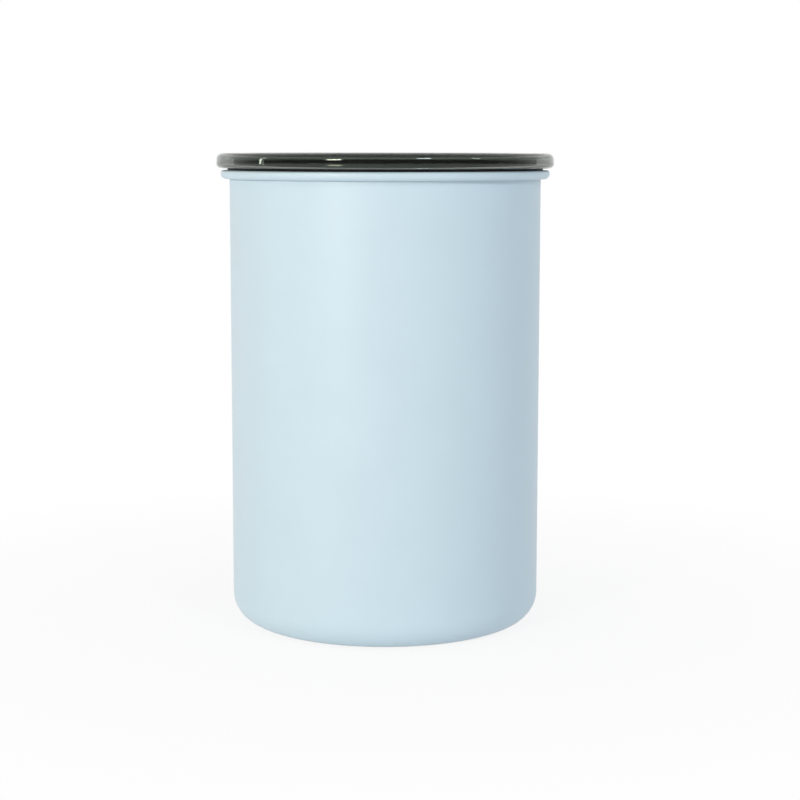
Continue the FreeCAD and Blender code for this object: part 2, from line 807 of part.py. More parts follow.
def valve_spring():
    """Open compression spring round the stem, between the cage and the valve's head."""
    wire = S["spring_wire"].number
    radius = STEM_RADIUS.number + S["spring_clearance"].number + wire / 2
    turns = S["spring_turns"].number
    rise = (S["spring_length"].number - wire) / turns
    turn_length = math.hypot(2 * math.pi * radius, rise)

    def coil_point(turn):
        angle = 2 * math.pi * turn
        return Vector(radius * math.cos(angle), radius * math.sin(angle), wire / 2 + rise * turn)

    def coil_way(turn):
        angle = 2 * math.pi * turn
        around = 2 * math.pi * radius
        return Vector(-around * math.sin(angle), around * math.cos(angle), rise) / turn_length

    count = round(turns * SPRING_ARCS_PER_TURN)
    stops = [turns * index / count for index in range(count + 1)]
    arcs = []
    for here, there in zip(stops, stops[1:]):
        arcs += biarc(coil_point(here), coil_way(here), coil_point(there), coil_way(there))
    path = Part.Wire(arcs)
    section = Part.Wire(Part.Circle(coil_point(0), coil_way(0), wire / 2).toShape())
    spring = doc.addObject("Part::Feature", "valve_spring")
    spring.Label = "valve_spring"
    spring.Shape = path.makePipeShell([section], True, False)
    spring.Placement = Placement(Vector(0, 0, 0), Rotation())
    drive(spring, "Placement.Base.z", S["cup_rest_height"] + CAGE_TOP)
    print_coil_facts(spring.Shape, path, wire, [coil_point(t) for t in coil_samples(turns)])
    return spring


def coil_samples(turns):
    count = round(turns * SPRING_SAMPLES_PER_TURN)
    return [turns * index / count for index in range(count + 1)]


def print_coil_facts(shape, path, wire, points):
    """Prints how close the coil comes to itself, and its volume against section times length."""
    apart = SPRING_SAMPLES_PER_TURN // 2
    pairs = ((a, b) for i, a in enumerate(points) for b in points[i + apart :])
    gap = min((a - b).Length for a, b in pairs) - wire
    expected = math.pi * wire * wire / 4 * path.Length
    print(f"valve_spring least gap {gap:.2f} mm, volume {shape.Volume:.2f} of {expected:.2f} mm3")


PIECES = [
    canister_body(),
    outer_lid(),
    outer_lid_gasket(),
    plunger_cup(),
    wiper_gasket(),
    vent_screen(),
    valve_cage(),
    valve_stem(),
    valve_seal(),
    valve_spring(),
    lift_handle(),
    handle_axle(),
    handle_cam(),
]


def check_document():
    """Stops before anything is written if a feature failed or a piece is not one sound solid."""
    doc.recompute()
    for thing in doc.Objects:
        if "Invalid" in thing.State or "Error" in thing.State:
            raise RuntimeError(f"{thing.Label} failed: {thing.State}")
        if thing.TypeId == "Sketcher::SketchObject" and not thing.FullyConstrained:
            raise RuntimeError(f"{thing.Label} is not fully constrained")
    for piece in PIECES:
        if piece.Shape.isNull() or not piece.Shape.isValid() or len(piece.Shape.Solids) != 1:
            raise RuntimeError(f"{piece.Label} is not one sound solid")


def export_pieces():
    os.makedirs("parts", exist_ok=True)
    for piece in PIECES:
        piece.Shape.exportStep(f"parts/{piece.Label}.step")
        box = piece.Shape.BoundBox
        print(f"{piece.Label}: z {box.ZMin:.2f} to {box.ZMax:.2f}, {piece.Shape.Volume:.0f} mm3")


check_document()
export_pieces()
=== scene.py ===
"""Looks of a coffee canister with a vented inner lid, built round its packed construction.

Metres, in the construction's own frame: +Z up, the origin at the centre of the base.
"""

import math

import bmesh
import bpy
from bpy.props import FloatProperty, FloatVectorProperty, IntProperty, PointerProperty
from bpy.types import NodeSocket, Operator, Panel, PropertyGroup
from mathutils import Matrix, Vector


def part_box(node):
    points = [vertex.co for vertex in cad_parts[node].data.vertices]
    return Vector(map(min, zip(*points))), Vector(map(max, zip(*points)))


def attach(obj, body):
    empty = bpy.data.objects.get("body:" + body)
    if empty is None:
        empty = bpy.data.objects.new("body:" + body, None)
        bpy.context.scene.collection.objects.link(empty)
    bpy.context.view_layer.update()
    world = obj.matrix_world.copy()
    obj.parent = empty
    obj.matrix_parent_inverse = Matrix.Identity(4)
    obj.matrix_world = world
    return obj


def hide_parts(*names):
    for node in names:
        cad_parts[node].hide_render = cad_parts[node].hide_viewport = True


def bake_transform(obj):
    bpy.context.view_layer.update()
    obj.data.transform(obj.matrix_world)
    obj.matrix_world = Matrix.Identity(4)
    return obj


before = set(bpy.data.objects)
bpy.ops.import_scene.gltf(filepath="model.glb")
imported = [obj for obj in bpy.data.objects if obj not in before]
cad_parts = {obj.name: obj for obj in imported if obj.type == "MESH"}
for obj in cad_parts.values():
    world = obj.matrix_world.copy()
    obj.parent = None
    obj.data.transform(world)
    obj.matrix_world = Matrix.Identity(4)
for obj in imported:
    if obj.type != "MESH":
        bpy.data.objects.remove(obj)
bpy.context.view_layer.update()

bl_info = {
    "name": "Coffee Canister Looks",
    "version": (1, 0, 0),
    "blender": (4, 5, 0),
    "location": "3D View > Sidebar > Canister",
    "description": "Builds the finished surfaces of a coffee canister round its construction",
    "category": "Object",
}

# Heights that the construction gives.
RIM_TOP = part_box("canister_body")[1].z
LID_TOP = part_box("outer_lid")[1].z
LID_PLUG_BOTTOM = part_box("outer_lid")[0].z
GASKET_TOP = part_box("outer_lid_gasket")[1].z
GASKET_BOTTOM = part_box("outer_lid_gasket")[0].z
CUP_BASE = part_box("plunger_cup")[0].z
WIPER_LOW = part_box("wiper_gasket")[0].z
WIPER_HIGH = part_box("wiper_gasket")[1].z
SEAL_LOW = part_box("valve_seal")[0].z
SEAL_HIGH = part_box("valve_seal")[1].z
SPRING_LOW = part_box("valve_spring")[0].z
SPRING_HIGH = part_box("valve_spring")[1].z
AXLE_HEIGHT = (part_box("handle_axle")[0].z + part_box("handle_axle")[1].z) / 2

# Facets round the large pieces and the small ones, and the turn from point to point of an arc.
TURNS = 256
SMALL_TURNS = 96
ARC_STEP = math.radians(9.0)
# Steps in each turn of the spring, and sides of its wire.
SPRING_STEPS = 48
WIRE_SIDES = 12
# Edges that turn by more than this are shaded sharp.
SHARP_ANGLE = math.radians(32.0)
# Points closer than this are one point, and a point this close to the axis is on it.
SAME_POINT = 1e-7
# The same for a mesh that has been joined or cut.
JOINT_GAP = 1e-6
# Room left between two visual pieces whose construction touches face to face.
HAIR_GAP = 0.00004

WHITE = (1.0, 1.0, 1.0, 1.0)
# What each shared effect puts out.
VARIED = {"Colour": "NodeSocketColor", "Roughness": "NodeSocketFloat", "Height": "NodeSocketFloat"}
# Noise lies mostly between these values, about its middle.
NOISE_LOW = 0.3
NOISE_HIGH = 0.7
NOISE_MIDDLE = 0.5
# Layers of finer noise in each of the effects.
MOTTLE_DETAIL = 3.0
GRAIN_DETAIL = 2.0
LINE_DETAIL = 4.0
# A quarter turn from round the axis to along it.
ACROSS_LINES = 0.25

# Way to the middle of the bright surroundings, and how far inside their edge they are fully bright.
BRIGHT_SIDE = (0.0, 0.15, 0.99)
BRIGHT_EDGE = 0.15
# Rises, as sines, between which the wall turns into the ceiling.
WALL_END = 0.4
CEILING_START = 0.65
# Soft panels round the object: turn from the front and rise from level in degrees, sides in metres,
# and the light on a surface that faces the panel, where 1 shows a colour as it is written.
LAMPS = {
    "key": dict(turn=-33.0, rise=13.0, width=0.27, height=0.17, share=0.39, tint=(1.0, 0.90, 0.77)),
    "left": dict(turn=-90.0, rise=14.0, width=0.05, height=0.80, share=0.05, tint=(1.0, 1.0, 0.92)),
    "fill": dict(turn=28.0, rise=34.0, width=0.22, height=0.18, share=0.135, tint=(0.78, 0.89, 1.0)),
    "right": dict(turn=66.0, rise=30.0, width=0.20, height=0.20, share=0.03, tint=(0.96, 0.98, 1.0)),
}


def length(name, description, default):
    """A size that a user can change."""
    return FloatProperty(
        name=name, description=description, default=default, min=0.0, precision=5, unit="LENGTH"
    )


def angle(name, description, degrees):
    """An angle that a user can change."""
    return FloatProperty(
        name=name, description=description, default=math.radians(degrees), unit="ROTATION"
    )


def amount(name, description, default):
    """A plain number that a user can change."""
    return FloatProperty(name=name, description=description, default=default, min=0.0)


def colour(name, description, default):
    """A colour that a user can change."""
    return FloatVectorProperty(
        name=name, description=description, default=default, min=0.0, max=1.0, subtype="COLOR"
    )


class CanisterSizes(PropertyGroup):
    """Drawn steel canister"""

    body_radius: length("Body radius", "Outside of the straight wall", 0.060)
    wall: length("Wall", "Thickness of the drawn sheet", 0.0007)
    curl_width: length("Curl width", "Across the flattened curl of the rim", 0.0041)
    curl_height: length("Curl height", "Height of that curl", 0.0033)
    curl_bend: length("Curl bend", "Outside radius of its upper bends", 0.001)
    curl_tail: length("Curl tail", "Outside radius of the wider bend under it", 0.00205)
    curl_lip_gap: length("Curl lip gap", "Between the curl's tail and the wall", 0.0005)
    corner_radius: length("Corner radius", "Outside of the round base corner", 0.0108)
    foot_ring_width: length("Foot ring width", "Level ring that the canister stands on", 0.006)
    base_recess: length("Base recess", "Height of the base above the foot ring", 0.002)
    base_step_run: length("Base step run", "Width of the slope up to the base", 0.006)
    base_step_radius: length("Base step radius", "Rounding of that slope", 0.003)


class OuterLidSizes(PropertyGroup):
    """Push-on lid and its gasket"""

    radius: length("Radius", "Outside of the lid", 0.065)
    edge_height: length("Edge height", "Height of the lid's outer edge", 0.0057)
    top_round: length("Top round", "Rounding of the upper edge", 0.0025)
    bottom_round: length("Bottom round", "Rounding of the lower edge", 0.0015)
    ring_width: length("Ring width", "Raised ring round the stacking recess", 0.010)
    recess_depth: length("Recess depth", "Depth of the stacking recess", 0.0012)
    recess_slope: length("Recess slope", "Width of the recess's sloping side", 0.0012)
    deck: length("Deck", "Thickness of the lid's middle", 0.0022)
    plug_radius: length("Plug radius", "Outside of the plug's wall", 0.0566)
    plug_wall: length("Plug wall", "Thickness of the plug's wall", 0.0022)
    skirt_wall: length("Skirt wall", "Thickness of the lid's outer wall", 0.0022)
    plate: length("Plate", "Thickness of the lid over its channel", 0.0018)
    edge_break: length("Edge break", "Small rounding of moulded edges", 0.0003)
    gasket_flange: length("Gasket flange", "Thickness of the flap on the rolled rim", 0.00075)
    gasket_reach: length("Gasket reach", "Outside of the flap on the rolled rim", 0.0608)
    gasket_collar: length("Gasket collar", "Thickness of the gasket inside the channel", 0.0018)
    gasket_sleeve: length("Gasket sleeve", "Thickness of the gasket round the plug", 0.0013)
    gasket_lip: length("Gasket lip", "Reach of the sealing lip beyond the sleeve", 0.0011)
    gasket_lip_height: length("Gasket lip height", "Height of the lip at its root", 0.0026)
    gasket_lip_drop: length("Gasket lip drop", "From the flange down to the lip", 0.0022)


class InnerLidSizes(PropertyGroup):
    """Sliding inner lid and its wiper"""

    cup_radius: length("Cup radius", "Outside of the cup", 0.0573)
    cup_wall: length("Cup wall", "Thickness of the cup's wall", 0.003)
    cup_floor: length("Cup floor", "Thickness of the cup's floor", 0.0025)
    cup_height: length("Cup height", "Height of the cup's rim", 0.027)
    edge_round: length("Edge round", "Rounding of the rim and base edges", 0.0012)
    floor_round: length("Floor round", "Rounding where the wall meets the floor", 0.003)
    edge_break: length("Edge break", "Small rounding of the other edges", 0.0003)
    groove_depth: length("Groove depth", "Depth of the wiper's groove", 0.0014)
    vent_radius: length("Vent radius", "Radius of the vent", 0.006)
    seat_width: length("Seat width", "Width of the raised valve seat", 0.0016)
    seat_height: length("Seat height", "Height of the valve seat", 0.001)
    screen_seat: length("Screen seat", "Radius of the screen's seat", 0.0075)
    screen_depth: length("Screen depth", "Depth of the screen's seat", 0.0006)
    boss_radius: length("Boss radius", "Outside of the boss round the vent", 0.014)
    boss_wall: length("Boss wall", "Thickness of the boss", 0.002)
    boss_height: length("Boss height", "Height of the boss", 0.004)
    lug_inner: length("Lug inner", "Inner face of each axle lug", 0.0245)
    lug_thickness: length("Lug thickness", "Thickness of each axle lug", 0.006)
    lug_width: length("Lug width", "Width of each axle lug", 0.011)
    lug_edge: length("Lug edge", "Rounding of each lug's faces", 0.0004)
    axle_bore: length("Axle bore", "Radius of the bore in the lugs", 0.00205)
    rib_count: IntProperty(
        name="Rib count", description="Stiffening ribs on the floor", default=16, min=0
    )
    rib_height: length("Rib height", "Height of the floor's ribs", 0.0022)
    rib_foot: length("Rib foot", "Thickness of the ribs at their feet", 0.00143)
    rib_crest: length("Rib crest", "Thickness of the ribs at their tops", 0.00088)
    rib_start: length("Rib start", "Radius where the ribs begin", 0.0168)
    rib_end: length("Rib end", "Radius where the ribs end", 0.0525)
    wiper_tip: length("Wiper tip", "Radius of the wiper's lips", 0.059)
    wiper_lip_root: length("Wiper lip root", "Height of a lip at the band", 0.002)
    wiper_lip_rise: length("Wiper lip rise", "How far a lip rises to its tip", 0.0016)
    wiper_lip_tip: length("Wiper lip tip", "Height of a lip at its tip", 0.001)
    wiper_lip_offset: length("Wiper lip offset", "From the band's edge to the first lip", 0.001)
    wiper_lip_spacing: length("Wiper lip spacing", "From lip to lip", 0.006)


class HandleSizes(PropertyGroup):
    """Lift handle"""

    reach: length("Reach", "Outside of the half ring", 0.043)
    width: length("Width", "Width of the half ring", 0.010)
    thickness: length("Thickness", "Thickness of the half ring", 0.007)
    edge_round: length("Edge round", "Rounding of its edges", 0.0026)
    hub_radius: length("Hub radius", "Radius of the hubs", 0.0055)
    hub_inner: length("Hub inner", "Inner face of each hub", 0.031)
    hub_bore: length("Hub bore", "Radius of the bore in the hubs", 0.002)
    hub_edge: length("Hub edge", "Rounding of the hubs' rims", 0.0006)


class ValveSizes(PropertyGroup):
    """Vent valve's seal and spring"""

    seal_radius: length("Seal radius", "Outside of the soft disc", 0.009)
    seal_bore: length("Seal bore", "Radius of the disc's hole for the stem", 0.002)
    seal_edge: length("Seal edge", "Rounding of the disc's rims", 0.0004)
    spring_wire: length("Spring wire", "Diameter of the spring's wire", 0.0007)
    spring_radius: length("Spring radius", "Radius of the coil at mid wire", 0.00395)
    spring_turns: FloatProperty(
        name="Spring turns", description="Turns of the coil", default=4.0, min=1.0
    )


class Finishes(PropertyGroup):
    """Colours of the finishes"""

    coat: colour("Coat", "Powder coat outside the canister", (0.578, 0.735, 0.835))
    steel: colour("Steel", "Bare drawn steel", (0.78, 0.778, 0.768))
    smoke: colour("Smoke", "Light that the smoked lid lets through", (0.02, 0.06, 0.02))
    rubber: colour("Rubber", "Lid gasket", (0.012, 0.013, 0.013))
    dark_plastic: colour("Dark plastic", "Inner lid and handle", (0.036, 0.038, 0.040))
    grey_plastic: colour("Grey plastic", "Valve mouldings", (0.30, 0.32, 0.33))
    silicone: colour("Silicone", "Wiper and valve seal", (0.11, 0.115, 0.12))
    smoke_density: amount("Smoke density", "Absorption of the lid per metre", 330.0)
    smoke_index: amount("Smoke index", "Refractive index of the lid", 1.53)
    smoke_gloss: colour("Smoke gloss", "Tint of the lid's reflections", (0.86, 1.0, 0.87))


class StageSettings(PropertyGroup):
    """Camera, light and floor"""

    camera_shift: FloatProperty(
        name="Camera shift", description="Sideways place", default=0.0058, unit="LENGTH"
    )
    camera_distance: length("Camera distance", "In front of the axis", 0.7413)
    camera_height: length("Camera height", "Above the floor", 0.1838)
    camera_pitch: angle("Camera pitch", "Downward tilt", 7.505)
    camera_roll: angle("Camera roll", "Tilt about its view", 0.07)
    lens: amount("Lens", "Focal length in millimetres", 85.65)
    sensor: amount("Sensor", "Width of the sensor in millimetres", 36.0)
    ambient: amount("Ambient", "Even light on matt surfaces", 0.515)
    dim_side: amount("Dim side", "Surroundings mirrored from the front", 0.12)
    dim_ceiling: amount("Dim ceiling", "Ceiling seen through the lid", 0.2)
    lamp_aim: length("Lamp aim", "Height that the lamps point at", 0.09)
    lamp_distance: length("Lamp distance", "From that height on the axis to each lamp", 1.7)
    floor_colour: colour("Floor colour", "Pale matt floor", (0.92, 0.92, 0.92))
    floor_roughness: amount("Floor roughness", "Roughness of the floor", 0.9)
    floor_white: amount("Floor white", "Whiteness under the object", 0.86)
    floor_reach: length("Floor reach", "Half the floor's side", 6.0)
    shadow_start: length("Shadow start", "Where the floor starts to whiten", 0.06)
    shadow_reach: length("Shadow reach", "How far the floor shows a shadow", 0.3)


def arc_points(centre, radius, start, end):
    """Points along an arc of an outline, from one angle to another."""
    steps = max(2, math.ceil(abs(end - start) / ARC_STEP))
    angles = [start + (end - start) * step / steps for step in range(steps + 1)]
    return [(centre[0] + radius * math.cos(a), centre[1] + radius * math.sin(a)) for a in angles]


def rounded(corners, closed=True):
    """An outline through (across, up, radius) corners, each turned by an arc of its radius."""
    points = []
    count = len(corners)
    for index, (across, up, radius) in enumerate(corners):
        corner = Vector((across, up))
        at_end = not closed and index in (0, count - 1)
        if at_end or radius <= 0.0:
            points.append((across, up))
            continue
        before = (Vector(corners[index - 1][:2]) - corner).normalized()
        after = (Vector(corners[(index + 1) % count][:2]) - corner).normalized()
        half = before.angle(after) / 2
        centre = corner + (before + after).normalized() * (radius / math.sin(half))
        start = corner + before * (radius / math.tan(half)) - centre
        end = corner + after * (radius / math.tan(half)) - centre
        turn = (end.angle_signed(start) + math.pi) % math.tau - math.pi
        first = math.atan2(start.y, start.x)
        points += arc_points(centre, radius, first, first + turn)
    return points


def revolve(bm, stretches, turns, sweep=math.tau):
    """Turns an outline, given as (points, finish) stretches, round the upright axis."""
    outline = [(point, finish) for points, finish in stretches for point in points]
    whole = sweep >= math.tau
    steps = turns if whole else turns + 1
    rings = []
    for (radius, height), _ in outline:
        if radius < SAME_POINT:
            rings.append([bm.verts.new((0.0, 0.0, height))] * steps)
            continue
        ring = []
        for step in range(steps):
            around = sweep * step / turns
            ring.append(bm.verts.new((radius * math.cos(around), radius * math.sin(around), height)))
        rings.append(ring)
    count = len(rings)
    for index, ring in enumerate(rings):
        following = rings[(index + 1) % count]
        for step in range(turns):
            beside = (step + 1) % steps
            corners = [ring[step], ring[beside], following[beside], following[step]]
            corners = list(dict.fromkeys(corners))
            if len(corners) > 2:
                bm.faces.new(corners).material_index = outline[index][1]
    if not whole:
        bm.faces.new([ring[0] for ring in rings])
        bm.faces.new([ring[-1] for ring in rings])
    return [vertex for ring in rings for vertex in dict.fromkeys(ring)]


def skin(bm, rings):
    """A closed skin over rings of points, with a face across each end."""
    made = [[bm.verts.new(point) for point in ring] for ring in rings]
    count = len(made[0])
    for ring, following in zip(made, made[1:]):
        for index in range(count):
            beside = (index + 1) % count
            bm.faces.new([ring[index], ring[beside], following[beside], following[index]])
    bm.faces.new(made[0])
    bm.faces.new(made[-1])


def loft(bm, sections):
    """A solid along X through outlines of (y, z) points, each with its own x."""
    skin(bm, [[(x, y, z) for y, z in outline] for x, outline in sections])


def new_piece(name, bm, *materials):
    """A smooth-shaded object with the given finishes."""
    bmesh.ops.remove_doubles(bm, verts=bm.verts, dist=SAME_POINT)
    bmesh.ops.recalc_face_normals(bm, faces=bm.faces)
    mesh = bpy.data.meshes.new(name)
    bm.to_mesh(mesh)
    bm.free()
    for material in materials:
        mesh.materials.append(material)
    piece = bpy.data.objects.new(name, mesh)
    bpy.context.scene.collection.objects.link(piece)
    smooth(piece)
    return piece


def smooth(piece):
    """Shades a piece smooth between its sharp edges."""
    piece.data.shade_smooth()
    piece.data.set_sharp_from_angle(angle=SHARP_ANGLE)


def turned_piece(name, stretches, *materials, turns=TURNS):
    """A whole piece turned round the upright axis."""
    bm = bmesh.new()
    revolve(bm, stretches, turns)
    return new_piece(name, bm, *materials)


def combine(base, tool, operation):
    """Joins or cuts the base with the tool, which is then removed."""
    modifier = base.modifiers.new(operation.lower(), "BOOLEAN")
    modifier.operation = operation
    modifier.solver = "EXACT"
    modifier.object = tool
    depsgraph = bpy.context.evaluated_depsgraph_get()
    made = bpy.data.meshes.new_from_object(base.evaluated_get(depsgraph))
    base.modifiers.clear()
    base.data = made
    bpy.data.objects.remove(tool)


def bore_on_axle(piece, radius, start, end):
    """Cuts a round bore along the axle's line."""
    circle = arc_points((0.0, AXLE_HEIGHT), radius, 0.0, math.tau)[:-1]
    bm = bmesh.new()
    loft(bm, [(start, circle), (end, circle)])
    combine(piece, new_piece("bore", bm), "DIFFERENCE")


def clean_joints(piece):
    """Merges the doubled points that joining and cutting leave."""
    bm = bmesh.new()
    bm.from_mesh(piece.data)
    bmesh.ops.remove_doubles(bm, verts=bm.verts, dist=JOINT_GAP)
    bm.to_mesh(piece.data)
    bm.free()
    smooth(piece)


def settle(piece, body, node):
    """Hides a piece's construction node and attaches the piece to the body that it moves with."""
    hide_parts(node)
    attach(piece, body)


def dress(node, material):
    """Puts a finish on a construction node whose own shape is shown."""
    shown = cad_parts[node]
    shown.data.materials.clear()
    shown.data.materials.append(material)
    smooth(shown)


def add_node(tree, kind, values, **settings):
    """A shader node with its settings, and its inputs set or linked."""
    node = tree.nodes.new(kind)
    for setting, value in settings.items():
        setattr(node, setting, value)
    for socket, value in values.items():
        if isinstance(value, NodeSocket):
            tree.links.new(value, node.inputs[socket])
        else:
            node.inputs[socket].default_value = value
    return node


def worked_out(tree, operation, *values):
    """The result of a sum on numbers or sockets."""
    return add_node(tree, "ShaderNodeMath", dict(enumerate(values)), operation=operation).outputs[0]


def ramp(tree, value, start, end, low, high):
    """A value that goes from low to high as another goes from start to end."""
    limits = {"Value": value, "From Min": start, "From Max": end, "To Min": low, "To Max": high}
    return add_node(tree, "ShaderNodeMapRange", limits).outputs[0]


def chosen(tree, mask, off, on):
    """One value where a mask is off, and another where it is on."""
    return add_node(tree, "ShaderNodeMix", {"Factor": mask, "A": off, "B": on}).outputs[0]


def new_group(name, inputs, outputs):
    """A shader node group, with its input and output ends."""
    tree = bpy.data.node_groups.new(name, "ShaderNodeTree")
    for socket, (kind, default) in inputs.items():
        made = tree.interface.new_socket(name=socket, in_out="INPUT", socket_type=kind)
        made.default_value = default
    for socket, kind in outputs.items():
        tree.interface.new_socket(name=socket, in_out="OUTPUT", socket_type=kind)
    start = tree.nodes.new("NodeGroupInput")
    end = tree.nodes.new("NodeGroupOutput")
    return tree, start.outputs, end.inputs


def varied_outputs(tree, given, ends, broad, fine):
    """Spreads a group's colour and roughness by a broad noise, and gives its fine noise as height."""
    darkest = worked_out(tree, "SUBTRACT", 1.0, given["Mottle"])
    lightest = worked_out(tree, "ADD", 1.0, given["Mottle"])
    tone = ramp(tree, broad, NOISE_LOW, NOISE_HIGH, darkest, lightest)
    shaded = add_node(
        tree, "ShaderNodeVectorMath", {0: given["Colour"], "Scale": tone}, operation="SCALE"
    )
    centred = worked_out(tree, "SUBTRACT", broad, NOISE_MIDDLE)
    rough = worked_out(tree, "MULTIPLY_ADD", centred, given["Roughness Spread"], given["Roughness"])
    tree.links.new(shaded.outputs[0], ends["Colour"])
    tree.links.new(rough, ends["Roughness"])
    tree.links.new(fine, ends["Height"])


def noise_of_size(tree, vector, size, detail):
    """Noise whose spots have a size in metres."""
    scale = worked_out(tree, "DIVIDE", 1.0, size)
    values = {"Vector": vector, "Scale": scale, "Detail": detail}
    return add_node(tree, "ShaderNodeTexNoise", values).outputs["Fac"]


def grain_group():
    """Fine grain of a coat or a moulded surface, over a slow mottle of its tone."""
    tree, given, ends = new_group(
        "fine_grain",
        {
            "Colour": ("NodeSocketColor", (0.5, 0.5, 0.5, 1.0)),
            "Mottle": ("NodeSocketFloat", 0.02),
            "Mottle Size": ("NodeSocketFloat", 0.01),
            "Grain Size": ("NodeSocketFloat", 0.0004),
            "Roughness": ("NodeSocketFloat", 0.5),
            "Roughness Spread": ("NodeSocketFloat", 0.1),
        },
        VARIED,
    )
    place = add_node(tree, "ShaderNodeTexCoord", {}).outputs["Object"]
    broad = noise_of_size(tree, place, given["Mottle Size"], MOTTLE_DETAIL)
    fine = noise_of_size(tree, place, given["Grain Size"], GRAIN_DETAIL)
    varied_outputs(tree, given, ends, broad, fine)


def drawn_lines_group():
    """Fine parallel lines left in metal by drawing or brushing."""
    tree, given, ends = new_group(
        "drawn_lines",
        {
            "Colour": ("NodeSocketColor", (0.6, 0.6, 0.6, 1.0)),
            "Mottle": ("NodeSocketFloat", 0.08),
            "Line Width": ("NodeSocketFloat", 0.0004),
            "Stretch": ("NodeSocketVector", (0.02, 0.02, 1.0)),
            "Roughness": ("NodeSocketFloat", 0.3),
            "Roughness Spread": ("NodeSocketFloat", 0.2),
        },
        VARIED,
    )
    place = add_node(tree, "ShaderNodeTexCoord", {}).outputs["Object"]
    drawn = add_node(tree, "ShaderNodeVectorMath", {0: place, 1: given["Stretch"]}, operation="MULTIPLY")
    lines = noise_of_size(tree, drawn.outputs[0], given["Line Width"], LINE_DETAIL)
    varied_outputs(tree, given, ends, lines, lines)


def new_material(name):
    """A new finish, given by its node tree and its shader."""
    material = bpy.data.materials.new(name)
    material.use_nodes = True
    tree = material.node_tree
    return tree, tree.nodes["Principled BSDF"]


def finish_named(name):
    """A finish that is already made."""
    return bpy.data.materials[name]


def finish_with(tree, shader, effect_name, values, depth):
    """Feeds a shader's roughness and normal from one of the shared effects, and gives its colour."""
    group = bpy.data.node_groups[effect_name]
    effect = add_node(tree, "ShaderNodeGroup", values, node_tree=group)
    bump = add_node(tree, "ShaderNodeBump", {"Height": effect.outputs["Height"], "Distance": depth})
    tree.links.new(effect.outputs["Roughness"], shader.inputs["Roughness"])
    tree.links.new(bump.outputs["Normal"], shader.inputs["Normal"])
    return effect.outputs["Colour"]


def grain_material(name, shade, *, roughness, spread, grain, depth, mottle, mottle_size, specular):
    """A coat, rubber or moulded plastic with a fine grain."""
    tree, shader = new_material(name)
    values = {
        "Colour": (*shade, 1.0),
        "Mottle": mottle,
        "Mottle Size": mottle_size,
        "Grain Size": grain,
        "Roughness": roughness,
        "Roughness Spread": spread,
    }
    varied = finish_with(tree, shader, "fine_grain", values, depth)
    tree.links.new(varied, shader.inputs["Base Color"])
    shader.inputs["Specular IOR Level"].default_value = specular


def drawn_metal(name, shade, *, roughness, spread, lines, stretch, depth, mottle, streak):
    """Bare metal with drawn or brushed lines, which pull its highlights out across them."""
    tree, shader = new_material(name)
    values = {
        "Colour": (*shade, 1.0),
        "Mottle": mottle,
        "Line Width": lines,
        "Stretch": stretch,
        "Roughness": roughness,
        "Roughness Spread": spread,
    }
    varied = finish_with(tree, shader, "drawn_lines", values, depth)
    tree.links.new(varied, shader.inputs["Base Color"])
    shader.inputs["Metallic"].default_value = 1.0
    shader.inputs["Anisotropic"].default_value = streak
    shader.inputs["Anisotropic Rotation"].default_value = ACROSS_LINES


def smoked_plastic(finishes, *, roughness, spread, grain, depth, mottle_size):
    """Clear plastic that darkens with the way the light goes through it."""
    tree, shader = new_material("smoked_clear")
    shader.inputs["Base Color"].default_value = WHITE
    shader.inputs["Transmission Weight"].default_value = 1.0
    shader.inputs["IOR"].default_value = finishes.smoke_index
    shader.inputs["Specular Tint"].default_value = (*finishes.smoke_gloss, 1.0)
    values = {
        "Mottle Size": mottle_size,
        "Grain Size": grain,
        "Roughness": roughness,
        "Roughness Spread": spread,
    }
    finish_with(tree, shader, "fine_grain", values, depth)
    smoke = {"Color": (*finishes.smoke, 1.0), "Density": finishes.smoke_density}
    absorb = add_node(tree, "ShaderNodeVolumeAbsorption", smoke)
    tree.links.new(absorb.outputs[0], tree.nodes["Material Output"].inputs["Volume"])


class CANISTER_OT_finishes(Operator):
    """Make the shared effects and every finish"""

    bl_idname = "canister.finishes"
    bl_label = "Finishes"

    def execute(self, context):
        finishes = context.scene.finishes
        grain_group()
        drawn_lines_group()
        self.coats_and_mouldings(finishes)
        self.metals(finishes)
        smoked_plastic(
            finishes, roughness=0.02, spread=0.03, grain=0.003, depth=0.000002, mottle_size=0.004
        )
        return {"FINISHED"}

    @staticmethod
    def coats_and_mouldings(finishes):
        """The powder coat, the soft seals and the moulded plastics."""
        grain_material(
            "powder_coat", finishes.coat, roughness=0.42, spread=0.1,
            grain=0.0006, depth=0.00001, mottle=0.012, mottle_size=0.02, specular=0.7,
        )
        grain_material(
            "gasket_rubber", finishes.rubber, roughness=0.55, spread=0.2,
            grain=0.0003, depth=0.00001, mottle=0.2, mottle_size=0.004, specular=0.4,
        )
        grain_material(
            "moulded_dark", finishes.dark_plastic, roughness=0.42, spread=0.2,
            grain=0.0004, depth=0.00002, mottle=0.12, mottle_size=0.006, specular=0.5,
        )
        grain_material(
            "moulded_grey", finishes.grey_plastic, roughness=0.36, spread=0.15,
            grain=0.0005, depth=0.00001, mottle=0.05, mottle_size=0.005, specular=0.5,
        )
        grain_material(
            "soft_silicone", finishes.silicone, roughness=0.6, spread=0.15,
            grain=0.0003, depth=0.00001, mottle=0.08, mottle_size=0.004, specular=0.35,
        )

    @staticmethod
    def metals(finishes):
        """The sheet inside the canister, drawn round the axis, and bright wire, drawn along X."""
        drawn_metal(
            "drawn_steel", finishes.steel, roughness=0.42, spread=0.14, lines=0.0003,
            stretch=(0.01, 0.01, 1.0), depth=0.000002, mottle=0.04, streak=0.65,
        )
        drawn_metal(
            "bright_wire", finishes.steel, roughness=0.22, spread=0.15, lines=0.0003,
            stretch=(0.05, 1.0, 1.0), depth=0.000002, mottle=0.05, streak=0.0,
        )


